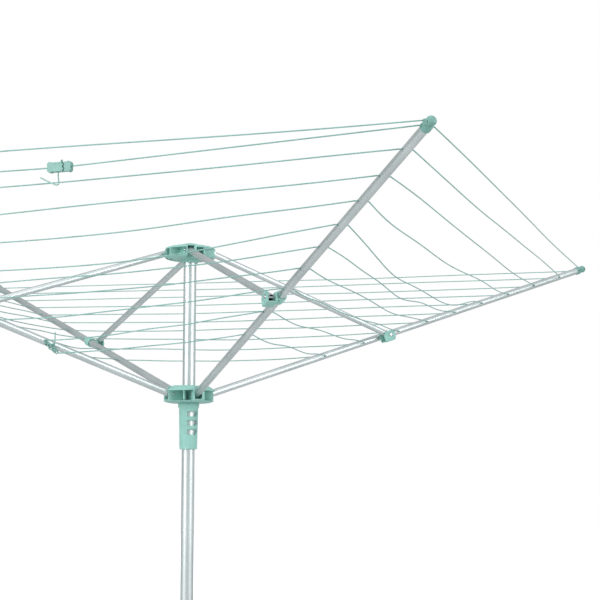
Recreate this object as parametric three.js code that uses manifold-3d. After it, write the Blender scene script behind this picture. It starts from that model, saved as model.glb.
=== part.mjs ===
// Rotary clothesline: a four-arm umbrella airer on an aluminium mast in a ground socket.
// Millimetres, +Z up. The origin is on the mast axis at ground level.
// Arm 1 points along -Y, arm 2 along +X, arm 3 along +Y and arm 4 along -X.
import * as THREE from "three";
import * as BufferGeometryUtils from "three/addons/utils/BufferGeometryUtils.js";
import Module from "manifold-3d";

const wasm = await Module();
wasm.setup();

// ---------- driving dimensions ----------
const MAST_R = 17.5;                 // outer radius of the mast tube
const MAST_WALL = 1.5;
const MAST_FOOT_Z = -290;            // the mast stands this deep in its socket
const RUNNER_Z = 1350;               // height of the arms' root pins
const PIVOT_R = 54;                  // root pins and strut pins, distance from the mast axis
const ARM_TILT = 18.3;               // degrees the open arms rise from the horizontal
const ARM_YAW = [-5.8, 2.4, 4.2, 5.1]; // degrees of side play each arm has taken up in its slot
const ARM_R = 10;
const ARM_WALL = 1.2;
const ARM_ROOT_OVERHANG = 9;         // tube beyond the root pin
const STRUT_R = 8.75;
const STRUT_WALL = 1.2;
const STRUT_OVERHANG = 8;            // tube beyond each strut pin
const STRUT_SIDE = 25;               // a strut runs this far beside its arm
const BRACKET_S = 628;               // root pin to bracket pin, and also the strut's pin distance
const TIP_S = 1433;                  // root pin to the line hole in the tip cap
const FIRST_HOLE_S = 1339.5;
const HOLE_PITCH = 110.6;
const EVEN_HOLES = 7;                // holes at the even pitch, the last one just outside the bracket
const INNER_HOLES_S = [543.8, 402.6];
const LINE_R = 1.5;
const LINE_HOLE_R = 2.6;
const PIN_R = 4;
const HUB_R = 70;
const GAP = 0.3;                     // clearance between pieces that touch

const rad = THREE.MathUtils.degToRad;
const TILT = rad(ARM_TILT);
const RISE = 2 * BRACKET_S * Math.sin(TILT);   // the struts' pins above the arms' pins
const UPPER_Z = RUNNER_Z + RISE;
const MAST_TOP_Z = UPPER_Z + 8;
const ARM_AZIMUTH = [-90, 0, 90, 180];
const HOLES_S = [TIP_S];
for (let i = 0; i < EVEN_HOLES; i++) HOLES_S.push(FIRST_HOLE_S - i * HOLE_PITCH);
HOLES_S.push(...INNER_HOLES_S);

// ---------- materials ----------
const plastic = new THREE.MeshStandardMaterial({ color: 0x9fcfc8, roughness: 0.45, metalness: 0 });
const lineCover = new THREE.MeshStandardMaterial({ color: 0xa8d6cf, roughness: 0.4, metalness: 0 });
const aluminium = new THREE.MeshStandardMaterial({ color: 0xc9d0d1, roughness: 0.35, metalness: 1 });
const steel = new THREE.MeshStandardMaterial({ color: 0x9a9fa0, roughness: 0.3, metalness: 1 });
const socketPlastic = new THREE.MeshStandardMaterial({ color: 0x6d7a78, roughness: 0.6, metalness: 0 });

// ---------- solid helpers ----------
function toSolid(geometry) {
  const bare = geometry.clone();
  for (const name of ["normal", "uv"]) bare.deleteAttribute(name);
  const merged = BufferGeometryUtils.mergeVertices(bare, 1e-4);
  const vertProperties = new Float32Array(merged.attributes.position.array);
  const triVerts = new Uint32Array(merged.index.array);
  return new wasm.Manifold(new wasm.Mesh({ numProp: 3, vertProperties, triVerts }));
}

function toGeometry(solid) {
  const mesh = solid.getMesh();
  const geometry = new THREE.BufferGeometry();
  geometry.setAttribute("position", new THREE.BufferAttribute(mesh.vertProperties, 3));
  geometry.setIndex(new THREE.BufferAttribute(mesh.triVerts, 1));
  geometry.computeVertexNormals();
  return geometry;
}

function join(...geometries) {
  return toGeometry(geometries.map(toSolid).reduce((a, b) => a.add(b)));
}

function cut(geometry, ...tools) {
  return toGeometry(tools.map(toSolid).reduce((a, b) => a.subtract(b), toSolid(geometry)));
}

// A box from its lowest to its highest corner.
function box(x0, x1, y0, y1, z0, z1) {
  const geometry = new THREE.BoxGeometry(x1 - x0, y1 - y0, z1 - z0);
  return geometry.translate((x0 + x1) / 2, (y0 + y1) / 2, (z0 + z1) / 2);
}

// A rod along Z between two heights.
function rodZ(radius, z0, z1, sides = 16, radiusTop = radius) {
  const geometry = new THREE.CylinderGeometry(radiusTop, radius, z1 - z0, sides);
  return geometry.rotateX(Math.PI / 2).translate(0, 0, (z0 + z1) / 2);
}

function rodX(radius, x0, x1, sides = 16) {
  return rodZ(radius, x0, x1, sides).rotateY(Math.PI / 2);
}

function rodY(radius, y0, y1, sides = 12) {
  return rodZ(radius, y0, y1, sides).rotateX(-Math.PI / 2);
}

// A body of revolution about Z from a closed outline of [radius, height] corners.
function turned(outline, sides = 24) {
  const points = outline.map(([r, z]) => new THREE.Vector2(r, z));
  return new THREE.LatheGeometry(points, sides).rotateX(Math.PI / 2);
}

function closedRing(inner, outer, z0, z1, sides = 24) {
  return turned([[inner, z0], [outer, z0], [outer, z1], [inner, z1], [inner, z0]], sides);
}

// A tube along X.
function tubeX(outer, wall, x0, x1, sides = 16) {
  const ring = closedRing(outer - wall, outer, x0, x1, sides);
  return ring.rotateY(Math.PI / 2);
}

// ---------- scene graph ----------
const airer = new THREE.Group();

function place(name, geometry, material, parent = airer) {
  const mesh = new THREE.Mesh(geometry, material);
  mesh.name = name;
  parent.add(mesh);
  return mesh;
}

// The upright frame of one arm: at its root pin, X outwards, Y along the pin.
function armStation(index) {
  const station = new THREE.Group();
  const azimuth = rad(ARM_AZIMUTH[index]);
  station.position.set(PIVOT_R * Math.cos(azimuth), PIVOT_R * Math.sin(azimuth), RUNNER_Z);
  station.rotation.z = azimuth + rad(ARM_YAW[index]);
  station.updateMatrixWorld(true);
  return station;
}
const stations = ARM_AZIMUTH.map((_, index) => armStation(index));
stations.forEach((station) => airer.add(station));

// Cutting tools that are drawn in an arm's upright frame, moved to the row frame.
const atStations = (tool) => stations.map((station) => tool.clone().applyMatrix4(station.matrixWorld));

// ---------- ground socket ----------
const SOCKET_R = 23;
const SOCKET_BORE_R = 19.6;
const SOCKET_FLOOR_Z = MAST_FOOT_Z - 12;
const SOCKET_POINT_Z = SOCKET_FLOOR_Z - 90;
const FLANGE_R = 46;
const FLANGE_T = 6;
const COLLAR_TOP_Z = 58;
const BUSH_BOTTOM_Z = COLLAR_TOP_Z - 34;
place("ground_socket", turned([
  [0, SOCKET_POINT_Z],
  [4, SOCKET_POINT_Z + 2],
  [SOCKET_R, SOCKET_FLOOR_Z - 20],
  [SOCKET_R, 0],
  [FLANGE_R, 0],
  [FLANGE_R, FLANGE_T],
  [SOCKET_R + 2.5, FLANGE_T + 3],
  [SOCKET_R + 1, COLLAR_TOP_Z],
  [SOCKET_BORE_R, COLLAR_TOP_Z],
  [SOCKET_BORE_R, SOCKET_FLOOR_Z],
  [0, SOCKET_FLOOR_Z],
]), socketPlastic);
place("socket_bush", turned([
  [MAST_R + GAP, BUSH_BOTTOM_Z],
  [SOCKET_BORE_R - GAP, BUSH_BOTTOM_Z],
  [SOCKET_BORE_R - GAP, COLLAR_TOP_Z + GAP],
  [SOCKET_R + 2.5, COLLAR_TOP_Z + GAP],
  [SOCKET_R + 1, COLLAR_TOP_Z + 6],
  [MAST_R + GAP, COLLAR_TOP_Z + 8],
  [MAST_R + GAP, BUSH_BOTTOM_Z],
]), plastic);

// ---------- mast ----------
const BUTTON_AZIMUTH = rad(-30);
const BUTTON_Z = RUNNER_Z - 78;
const BUTTON_R = 3.6;
const BUTTON_OUT = 4.6;              // how far the button stands out of the mast
const BUTTON_SHOULDER_R = BUTTON_R + 2;
const buttonFrame = new THREE.Group();
buttonFrame.rotation.z = BUTTON_AZIMUTH;
buttonFrame.position.z = BUTTON_Z;
buttonFrame.updateMatrixWorld(true);
airer.add(buttonFrame);

const buttonHole = rodX(BUTTON_R + GAP, 0, MAST_R + 5, 12).applyMatrix4(buttonFrame.matrixWorld);
const mastShell = closedRing(MAST_R - MAST_WALL, MAST_R, MAST_FOOT_Z, MAST_TOP_Z, 32);
place("mast_tube", cut(mastShell, buttonHole), aluminium);
place("mast_foot_plug", turned([
  [0, MAST_FOOT_Z - 10],
  [MAST_R + 0.5, MAST_FOOT_Z - 10],
  [MAST_R + 0.5, MAST_FOOT_Z - GAP],
  [MAST_R - MAST_WALL - GAP, MAST_FOOT_Z - GAP],
  [MAST_R - MAST_WALL - GAP - 0.6, MAST_FOOT_Z + 25],
  [0, MAST_FOOT_Z + 25],
]), plastic);

// The sprung button that holds the runner up, and its leaf spring inside the mast.
place("lock_button", join(
  rodX(BUTTON_R, MAST_R - MAST_WALL - 5, MAST_R + BUTTON_OUT, 12),
  rodX(BUTTON_SHOULDER_R, MAST_R - MAST_WALL - 6.5, MAST_R - MAST_WALL - 3, 12),
), steel, buttonFrame);
const LEAF_T = 1;
const LEAF_HALF_WIDTH = 4;
const LEAF_LENGTH = 46;
const LEAF_BACK_X = -MAST_R + MAST_WALL + 2.6;
const LEAF_FRONT_X = MAST_R - MAST_WALL - 6.5 - GAP;
const leafOutline = new THREE.Shape();
leafOutline.moveTo(LEAF_FRONT_X - LEAF_T, 8);
leafOutline.lineTo(LEAF_FRONT_X, 8);
leafOutline.lineTo(LEAF_FRONT_X, -8);
leafOutline.lineTo(2, -LEAF_LENGTH);
leafOutline.lineTo(-2, -LEAF_LENGTH);
leafOutline.lineTo(LEAF_BACK_X, -8);
leafOutline.lineTo(LEAF_BACK_X, 8);
leafOutline.lineTo(LEAF_BACK_X + LEAF_T, 8);
leafOutline.lineTo(LEAF_BACK_X + LEAF_T, -8);
leafOutline.lineTo(-1.2, -LEAF_LENGTH + LEAF_T);
leafOutline.lineTo(1.2, -LEAF_LENGTH + LEAF_T);
leafOutline.lineTo(LEAF_FRONT_X - LEAF_T, -8);
leafOutline.closePath();
const leaf = new THREE.ExtrudeGeometry(leafOutline, { depth: 2 * LEAF_HALF_WIDTH, bevelEnabled: false });
place("lock_spring", leaf.translate(0, 0, -LEAF_HALF_WIDTH).rotateX(Math.PI / 2), steel, buttonFrame);

// ---------- upper hub ----------
// A spool of two plates round a barrel. Upright cheeks hold the struts' pins, and the bays
// between the cheeks are open at the rim.
const CHEEK_T = 4.9;
const PLATE_T = 3.6;
const UPPER_HUB_BOTTOM = UPPER_Z - 18;
const UPPER_BAY_TOP = UPPER_Z + 9;
const UPPER_HUB_TOP = UPPER_Z + 21;
const CAP_SEAT_R = 27;
const CAP_SEAT_DEPTH = 3;
const POCKET_HALF = STRUT_R + 0.9;
const POCKET_CEILING = 12.5;
const POCKET_BACK = -14;             // the pocket's end wall, from the pin towards the mast
const OUTSIDE = 60;                  // beyond the hubs' rims, from the pins
const BARREL_SKIRT = 10;             // the upper hub's barrel reaches this far below its plate
const upperBlank = turned([
  [MAST_R + GAP, UPPER_HUB_BOTTOM - BARREL_SKIRT],
  [MAST_R + 5, UPPER_HUB_BOTTOM - BARREL_SKIRT],
  [MAST_R + 7, UPPER_HUB_BOTTOM],
  [HUB_R - 12, UPPER_HUB_BOTTOM],
  [HUB_R, UPPER_HUB_BOTTOM + PLATE_T + 1],
  [HUB_R, UPPER_BAY_TOP + 2],
  [HUB_R - 5, UPPER_BAY_TOP + 5],
  [HUB_R - 20, UPPER_HUB_TOP - 3],
  [CAP_SEAT_R, UPPER_HUB_TOP],
  [CAP_SEAT_R, UPPER_HUB_TOP - CAP_SEAT_DEPTH],
  [0, UPPER_HUB_TOP - CAP_SEAT_DEPTH],
  [0, MAST_TOP_Z + GAP],
  [MAST_R + GAP, MAST_TOP_Z + GAP],
  [MAST_R + GAP, UPPER_HUB_BOTTOM - BARREL_SKIRT],
], 36);
const pocketNear = -STRUT_SIDE + POCKET_HALF;
const pocketFar = -STRUT_SIDE - POCKET_HALF;
const strutPocket = box(POCKET_BACK, OUTSIDE, pocketFar, pocketNear, RISE - 50, RISE + POCKET_CEILING);
const strutPinHole = rodY(PIN_R + GAP, pocketFar - CHEEK_T - 2, pocketNear + CHEEK_T + 2);
strutPinHole.translate(0, 0, RISE);
const bayBottom = UPPER_HUB_BOTTOM + PLATE_T - RUNNER_Z;
const bayTop = UPPER_BAY_TOP - RUNNER_Z;
const BAY_RIB_Y = 12;
const BAY_RIB_T = 3;
const nearBay = box(POCKET_BACK, OUTSIDE, pocketNear + CHEEK_T, BAY_RIB_Y, bayBottom, bayTop);
const farBay = box(POCKET_BACK, OUTSIDE, BAY_RIB_Y + BAY_RIB_T, OUTSIDE, bayBottom, bayTop);
place("upper_hub", cut(
  upperBlank,
  ...atStations(strutPocket),
  ...atStations(strutPinHole),
  ...atStations(nearBay),
  ...atStations(farBay),
), plastic);
const CAP_UNDERSIDE = UPPER_HUB_TOP - CAP_SEAT_DEPTH + GAP;
place("hub_cap", turned([
  [0, CAP_UNDERSIDE],
  [CAP_SEAT_R - GAP, CAP_UNDERSIDE],
  [CAP_SEAT_R - GAP, UPPER_HUB_TOP],
  [CAP_SEAT_R - 8, UPPER_HUB_TOP + 4],
  [CAP_SEAT_R - 17, UPPER_HUB_TOP + 6],
  [0, UPPER_HUB_TOP + 7],
]), plastic);

// ---------- runner: lower hub and tension sleeve ----------
const RUNNER_BORE_R = MAST_R + 0.6;
const LOWER_HUB_BOTTOM = RUNNER_Z - 23;
const LOWER_BAY_TOP = RUNNER_Z + 9;
const LOWER_HUB_TOP = RUNNER_Z + 23;
const LOWER_BARREL_R = 26;
const SLEEVE_LENGTH = 127;
const SLEEVE_BOTTOM = LOWER_HUB_BOTTOM - SLEEVE_LENGTH;
const SLEEVE_COLLAR_R = 29;
const SLEEVE_COLLAR_H = 12;
const SLEEVE_TOP_R = 26.4;
const SLEEVE_BOTTOM_R = 24.2;
const KEYWAY_R = MAST_R + BUTTON_OUT + 0.7;
const SLOT_HALF = ARM_R + 1.1;
const SLOT_FLOOR = -15;
const SLOT_BACK = -15;
const BAY_RIB_ANGLE = 54;            // from the arm on the bay's clockwise side
const lowerBlank = turned([
  [RUNNER_BORE_R, LOWER_HUB_BOTTOM],
  [HUB_R - 13, LOWER_HUB_BOTTOM],
  [HUB_R + 3, LOWER_HUB_BOTTOM + 7],
  [HUB_R + 3, LOWER_BAY_TOP + 3],
  [HUB_R - 14, LOWER_HUB_TOP],
  [RUNNER_BORE_R, LOWER_HUB_TOP],
  [RUNNER_BORE_R, LOWER_HUB_BOTTOM],
], 8).rotateZ(rad(22.5));
const runnerBore = rodZ(RUNNER_BORE_R, LOWER_HUB_BOTTOM - 5, LOWER_HUB_TOP + 5, 32);
const armSlot = box(SLOT_BACK, OUTSIDE, -SLOT_HALF, SLOT_HALF, SLOT_FLOOR, OUTSIDE);
const rootPinHole = rodY(PIN_R + GAP, -SLOT_HALF - CHEEK_T - 4, SLOT_HALF + CHEEK_T + 4);
const bayFrom = SLOT_HALF + CHEEK_T + 0.5;
const bayBlock = box(bayFrom, 90, bayFrom, 90, LOWER_HUB_BOTTOM + PLATE_T + 1, LOWER_BAY_TOP);
const barrel = rodZ(LOWER_BARREL_R, LOWER_HUB_BOTTOM, LOWER_HUB_TOP, 32);
const bayRib = box(10, 90, -BAY_RIB_T / 2, BAY_RIB_T / 2, LOWER_HUB_BOTTOM, LOWER_HUB_TOP);
bayRib.rotateZ(rad(BAY_RIB_ANGLE));
const lowerBay = cut(bayBlock, barrel, bayRib);
const lowerBays = ARM_AZIMUTH.map((angle) => lowerBay.clone().rotateZ(rad(angle)));
const keyway = box(0, KEYWAY_R, -BUTTON_R - 0.8, BUTTON_R + 0.8, SLEEVE_BOTTOM - 5, LOWER_HUB_TOP + 5);
keyway.rotateZ(BUTTON_AZIMUTH);
place("lower_hub", cut(
  lowerBlank,
  runnerBore,
  ...atStations(armSlot),
  ...atStations(rootPinHole),
  ...lowerBays,
  keyway,
), plastic);

const CUTTER_OUTER_R = 45;
const CUTTER_INNER_R = 14;

// A part-ring cutter between two azimuths, in degrees.
function arcCutter(startDeg, endDeg, z0, height) {
  const outline = new THREE.Shape();
  outline.absarc(0, 0, CUTTER_OUTER_R, rad(startDeg), rad(endDeg), false);
  outline.absarc(0, 0, CUTTER_INNER_R, rad(endDeg), rad(startDeg), true);
  outline.closePath();
  const raised = { depth: height, bevelEnabled: false, curveSegments: 8 };
  return new THREE.ExtrudeGeometry(outline, raised).translate(0, 0, z0);
}
const SLOTS = 3;
const FIRST_SLOT_Z = RUNNER_Z - 61;
const SLOT_HEIGHT = 14;
const SLOT_PITCH = 24.8;
const SLOT_START = -122;
const SLOT_STEP = -48;
const SLOT_END = -18;
const SLOT_LIFT = 4;                 // the slot's locking end stands higher
const sleeveSlots = [];
for (let i = 0; i < SLOTS; i++) {
  const z0 = FIRST_SLOT_Z - i * SLOT_PITCH;
  sleeveSlots.push(arcCutter(SLOT_START, SLOT_END, z0 + SLOT_LIFT, SLOT_HEIGHT - SLOT_LIFT));
  sleeveSlots.push(arcCutter(SLOT_START, SLOT_STEP, z0, SLOT_HEIGHT));
  sleeveSlots.push(arcCutter(SLOT_STEP - 1, SLOT_END, z0 + SLOT_LIFT, SLOT_HEIGHT));
}
const sleeveBlank = turned([
  [RUNNER_BORE_R, SLEEVE_BOTTOM],
  [SLEEVE_BOTTOM_R, SLEEVE_BOTTOM],
  [SLEEVE_TOP_R, LOWER_HUB_BOTTOM - SLEEVE_COLLAR_H - 2],
  [SLEEVE_COLLAR_R, LOWER_HUB_BOTTOM - SLEEVE_COLLAR_H],
  [SLEEVE_COLLAR_R, LOWER_HUB_BOTTOM - GAP],
  [RUNNER_BORE_R, LOWER_HUB_BOTTOM - GAP],
  [RUNNER_BORE_R, SLEEVE_BOTTOM],
], 32);
place("tension_sleeve", cut(sleeveBlank, ...sleeveSlots, keyway), plastic);

// ---------- arms, struts, brackets and pins ----------
const RING_BORE_R = ARM_R + GAP;
const RING_R = ARM_R + 4.2;
const RING_HALF = 13;                // half the ring's width along the arm
const CHEEK_INNER = -STRUT_SIDE - STRUT_R - 0.9;
const CHEEK_OUTER = CHEEK_INNER - 3.4;
const CHANNEL_INNER = -STRUT_SIDE + STRUT_R + 0.9;
const RING_SIDE = -RING_BORE_R - 1.5; // inside the ring's wall, beside the channel
const CHANNEL_FLOOR = -14.6;
const CHEEK_TOP = 13;
const CHANNEL_FROM = -24;
const CHANNEL_TO = 15;
const ROOT_PIN_HALF = SLOT_HALF + CHEEK_T + 1.2;
const STRUT_PIN_HALF = POCKET_HALF + CHEEK_T + 0.8;
const RIVET_HEAD_R = 5.6;
const RIVET_HEAD_T = 1.8;
const CAP_R = ARM_R + 2.2;
const CAP_PLUG_R = ARM_R - ARM_WALL - GAP;
const CAP_PLUG_LENGTH = 24;          // the cap's plug fills this much of the tube
const TUBE_END_S = TIP_S - 9;
const drills = HOLES_S.slice(1).map((s) => rodY(LINE_HOLE_R, -60, 60, 8).translate(s, 0, 0));

// The bracket's ring and the channel beside it that the strut's end sits in.
function bracketGeometry() {
  const ring = rodX(RING_R, -RING_HALF, RING_HALF, 20);
  const bore = rodX(RING_BORE_R, -50, 50, 20);
  const innerCheek = box(CHANNEL_FROM, CHANNEL_TO, CHANNEL_INNER, RING_SIDE, CHANNEL_FLOOR - 3, 9);
  const cheekOutline = new THREE.Shape();
  cheekOutline.moveTo(CHANNEL_FROM + 3, CHANNEL_FLOOR - 3);
  cheekOutline.lineTo(CHANNEL_TO - 5, CHANNEL_FLOOR - 3);
  cheekOutline.lineTo(CHANNEL_TO, CHANNEL_FLOOR + 6);
  cheekOutline.lineTo(CHANNEL_TO, CHEEK_TOP - 6);
  cheekOutline.lineTo(CHANNEL_TO - 6, CHEEK_TOP);
  cheekOutline.lineTo(CHANNEL_FROM + 8, CHEEK_TOP);
  cheekOutline.lineTo(CHANNEL_FROM, CHEEK_TOP - 10);
  cheekOutline.lineTo(CHANNEL_FROM, CHANNEL_FLOOR + 2);
  cheekOutline.closePath();
  const cheekSolid = { depth: CHEEK_INNER - CHEEK_OUTER, bevelEnabled: false, steps: 1 };
  const outerCheek = new THREE.ExtrudeGeometry(cheekOutline, cheekSolid);
  outerCheek.rotateX(Math.PI / 2).translate(0, CHEEK_INNER, 0);
  const underside = CHANNEL_FLOOR - 3;
  const floor = box(CHANNEL_FROM + 3, CHANNEL_TO - 5, CHEEK_OUTER, RING_SIDE, underside, CHANNEL_FLOOR);
  const rivetHole = rodY(PIN_R + GAP, CHEEK_OUTER - 5, -RING_BORE_R - 0.5);
  return cut(join(ring, innerCheek, outerCheek, floor), bore, rivetHole);
}

// The cap on the tube's end: a plug in the tube, a collar that holds the outer line, and a knob.
function tipCapGeometry() {
  const nose = turned([
    [0, TUBE_END_S - CAP_PLUG_LENGTH],
    [CAP_PLUG_R - 1, TUBE_END_S - CAP_PLUG_LENGTH],
    [CAP_PLUG_R, TUBE_END_S - CAP_PLUG_LENGTH + 2],
    [CAP_PLUG_R, TUBE_END_S + GAP],
    [CAP_R, TUBE_END_S + GAP],
    [CAP_R, TIP_S + 6],
    [7, TIP_S + 9],
    [7, TIP_S + 12],
    [10, TIP_S + 15],
    [11, TIP_S + 20],
    [8.5, TIP_S + 26],
    [0, TIP_S + 28.5],
  ], 20).rotateY(Math.PI / 2);
  return cut(nose, rodY(LINE_HOLE_R, -40, 40, 8).translate(TIP_S, 0, 0));
}

const armTube = cut(
  tubeX(ARM_R, ARM_WALL, -ARM_ROOT_OVERHANG, TUBE_END_S),
  rodY(PIN_R + GAP, -30, 30),
  ...drills,
);
const strutTube = cut(
  tubeX(STRUT_R, STRUT_WALL, -STRUT_OVERHANG, BRACKET_S + STRUT_OVERHANG),
  rodY(PIN_R + GAP, -30, 30),
  rodY(PIN_R + GAP, -30, 30).translate(BRACKET_S, 0, 0),
);
const bracketShape = bracketGeometry();
const tipCapShape = tipCapGeometry();
const rootPinShape = rodY(PIN_R, -ROOT_PIN_HALF, ROOT_PIN_HALF);
const strutPinShape = rodY(PIN_R, -STRUT_SIDE - STRUT_PIN_HALF, -STRUT_SIDE + STRUT_PIN_HALF);
const rivetShape = join(
  rodY(PIN_R, CHEEK_OUTER - GAP, -RING_BORE_R - 2.2),
  rodY(RIVET_HEAD_R, CHEEK_OUTER - GAP - RIVET_HEAD_T, CHEEK_OUTER - GAP + 0.01),
);

const armFrames = stations.map((station, index) => {
  const number = index + 1;
  const arm = new THREE.Group();
  arm.rotation.y = -TILT;
  station.add(arm);
  place(`arm_tube_${number}`, armTube, aluminium, arm);
  place(`arm_tip_cap_${number}`, tipCapShape, plastic, arm);
  place(`arm_bracket_${number}`, bracketShape, plastic, arm).position.x = BRACKET_S;
  place(`bracket_rivet_${number}`, rivetShape, steel, arm).position.x = BRACKET_S;
  place(`arm_root_pin_${number}`, rootPinShape, steel, station);
  place(`strut_pin_${number}`, strutPinShape, steel, station).position.z = RISE;
  const strut = new THREE.Group();
  strut.position.set(0, -STRUT_SIDE, RISE);
  strut.rotation.y = TILT;
  station.add(strut);
  place(`strut_tube_${number}`, strutTube, aluminium, strut);
  arm.updateMatrixWorld(true);
  return arm;
});

// ---------- clothes line ----------
// Straight runs from point to point, with the route's own points as the steps of the sweep.
class LineRoute extends THREE.Curve {
  constructor(points) {
    super();
    this.points = points;
  }

  getPoint(t) {
    const along = t * (this.points.length - 1);
    const index = Math.min(Math.floor(along), this.points.length - 2);
    return this.points[index].clone().lerp(this.points[index + 1], along - index);
  }

  getPointAt(u) {
    return this.getPoint(u);
  }

  getTangentAt(u) {
    const step = 0.5 / (this.points.length - 1);
    const before = this.getPoint(Math.max(u - step, 0));
    return this.getPoint(Math.min(u + step, 1)).sub(before).normalize();
  }
}

function roundLine(points) {
  const section = new THREE.Shape();
  section.absarc(0, 0, LINE_R, 0, 2 * Math.PI, false);
  return new THREE.ExtrudeGeometry(section, {
    steps: points.length - 1,
    extrudePath: new LineRoute(points),
    bevelEnabled: false,
    curveSegments: 4,
  });
}

// A point in an arm's frame (along the arm, to its side, above it), in the row frame.
function armPoint(armIndex, along, side, above = 0) {
  return new THREE.Vector3(along, side, above).applyMatrix4(armFrames[armIndex].matrixWorld);
}

const HOLE_EXIT = ARM_R + 6;         // a span begins this far to the side of its arm
// Sag of a span as a share of its length, by the arm it leaves.
const SIDE_SAG = [0.016, 0.006, 0.01, 0.01];
const LAST_HOLE = HOLES_S.length - 1;
const leave = (armIndex, hole) => armPoint(armIndex, HOLES_S[hole], HOLE_EXIT);
const reach = (armIndex, hole) => armPoint(armIndex, HOLES_S[hole], -HOLE_EXIT);

// One span between two points, sagging in the middle.
function span(start, end, side) {
  const sag = start.distanceTo(end) * SIDE_SAG[side];
  const points = [start];
  for (const share of [0.33, 0.67]) {
    const point = start.clone().lerp(end, share);
    point.z -= sag;
    points.push(point);
  }
  points.push(end);
  return points;
}

// The square spiral. It is tied beside arm 4's innermost hole and steps one hole outwards on each
// side from arm 4 to arm 1. It is cut at the tensioner on that side's second line from outside,
// and ends tied to arm 1's knob.
const startKnot = armPoint(3, HOLES_S[LAST_HOLE] - 42, HOLE_EXIT, -20);
const endKnot = armPoint(0, TIP_S + 20, -CAP_R - 2);
const TENSIONER_SHARE = 0.546;       // place along its line, from arm 4
const TENSIONER_DROP = 18;           // below the straight line between the two holes
const LOBE_X = 21.8;
const LOBE_Z = 5.3;
const LOBE_R = 6.2;
const TENSIONER_HALF = LOBE_X + LOBE_R;
const innerRoute = [];
for (let hole = LAST_HOLE; hole >= 0; hole--) {
  const start = hole === LAST_HOLE ? startKnot : leave(3, hole + 1);
  innerRoute.push(...span(start, reach(0, hole), 3));
  if (hole > 0) {
    innerRoute.push(...span(leave(0, hole), reach(1, hole), 0));
    innerRoute.push(...span(leave(1, hole), reach(2, hole), 1));
    innerRoute.push(...span(leave(2, hole), reach(3, hole), 2));
  }
}
const [tensionedStart, beforeTensioner, , tensionedEnd] = innerRoute.splice(-4);
const tensionerAlong = tensionedEnd.clone().sub(tensionedStart).normalize();
const tensionerAt = tensionedStart.clone().lerp(tensionedEnd, TENSIONER_SHARE);
tensionerAt.z -= TENSIONER_DROP;
const tensionerReach = tensionerAlong.clone().multiplyScalar(TENSIONER_HALF + GAP);
innerRoute.push(tensionedStart, beforeTensioner, tensionerAt.clone().sub(tensionerReach));
const outerRoute = [
  tensionerAt.clone().add(tensionerReach),
  tensionedEnd,
  ...span(leave(0, 0), reach(1, 0), 0),
  ...span(leave(1, 0), reach(2, 0), 1),
  ...span(leave(2, 0), reach(3, 0), 2),
  ...span(leave(3, 0), endKnot, 3),
];
place("clothes_line_inner", roundLine(innerRoute), lineCover);
place("clothes_line_outer", roundLine(outerRoute), lineCover);

// ---------- line tensioner and its free tail ----------
// A bone-shaped block: two round lobes at each end, a toothed groove on each face between its
// body and its end piece, and a knob on top.
const TENSIONER_T = 12.8;
const GROOVE_FLOOR = 3;              // the grooves stop this far from the middle
const KNOB_R = 2.6;
const KNOB_X = 3.6;
const KNOB_TOP = 15.5;
const tensioner = new THREE.Group();
tensioner.position.copy(tensionerAt);
tensioner.rotation.z = Math.atan2(tensionerAlong.y, tensionerAlong.x);
airer.add(tensioner);

// A flat outline in X and Z, raised along Y about the middle.
function slab(outline, thickness) {
  const geometry = new THREE.ExtrudeGeometry(outline, {
    depth: thickness,
    bevelEnabled: false,
    curveSegments: 6,
  });
  return geometry.translate(0, 0, -thickness / 2).rotateX(Math.PI / 2);
}

const boneOutline = new THREE.Shape();
boneOutline.absarc(LOBE_X, -LOBE_Z, LOBE_R, rad(-130), rad(20), false);
boneOutline.absarc(LOBE_X, LOBE_Z, LOBE_R, rad(-20), rad(130), false);
boneOutline.absarc(-LOBE_X, LOBE_Z, LOBE_R, rad(50), rad(200), false);
boneOutline.absarc(-LOBE_X, -LOBE_Z, LOBE_R, rad(160), rad(310), false);
boneOutline.closePath();
const GROOVE_POINTS = [
  [9, 14], [6.4, 8], [9.6, 4], [7.2, -1], [10.6, -5], [8, -9], [10, -14],
  [13, -14], [11.4, -9], [14, -4.6], [10.8, -0.6], [13.2, 4.4], [11, 8], [12.6, 14],
];
const grooveOutline = new THREE.Shape(GROOVE_POINTS.map(([x, z]) => new THREE.Vector2(x, z)));
const groove = cut(slab(grooveOutline, 2 * TENSIONER_T), box(0, 20, -GROOVE_FLOOR, GROOVE_FLOOR, -20, 20));
const knob = rodZ(KNOB_R, 5, KNOB_TOP, 12).translate(KNOB_X, 0, 0);
place("line_tensioner", cut(join(slab(boneOutline, TENSIONER_T), knob), groove), plastic, tensioner);

const TAIL_POINTS = [
  [-4, 0, -10.6], [-3.9, -0.4, -16], [-3.2, -0.9, -21.5], [-2.2, -1.4, -27], [-1.6, -1.8, -32],
  [-1.8, -1.8, -36], [-5.4, -1.2, -38.1], [-10.8, -0.4, -37.1], [-17.8, 0.6, -34.1], [-24, 1.5, -31.2],
  [-30, 2.2, -28.3], [-36, 2.8, -25.3], [-42, 3.2, -22.2], [-47.5, 3.4, -19.2],
];
const tailPoints = TAIL_POINTS.map((point) => new THREE.Vector3(...point));
place("line_tail", roundLine(tailPoints), lineCover, tensioner);

export default airer;
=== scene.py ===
import math
import random

import bmesh
import bpy
from mathutils import Matrix, Vector


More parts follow.
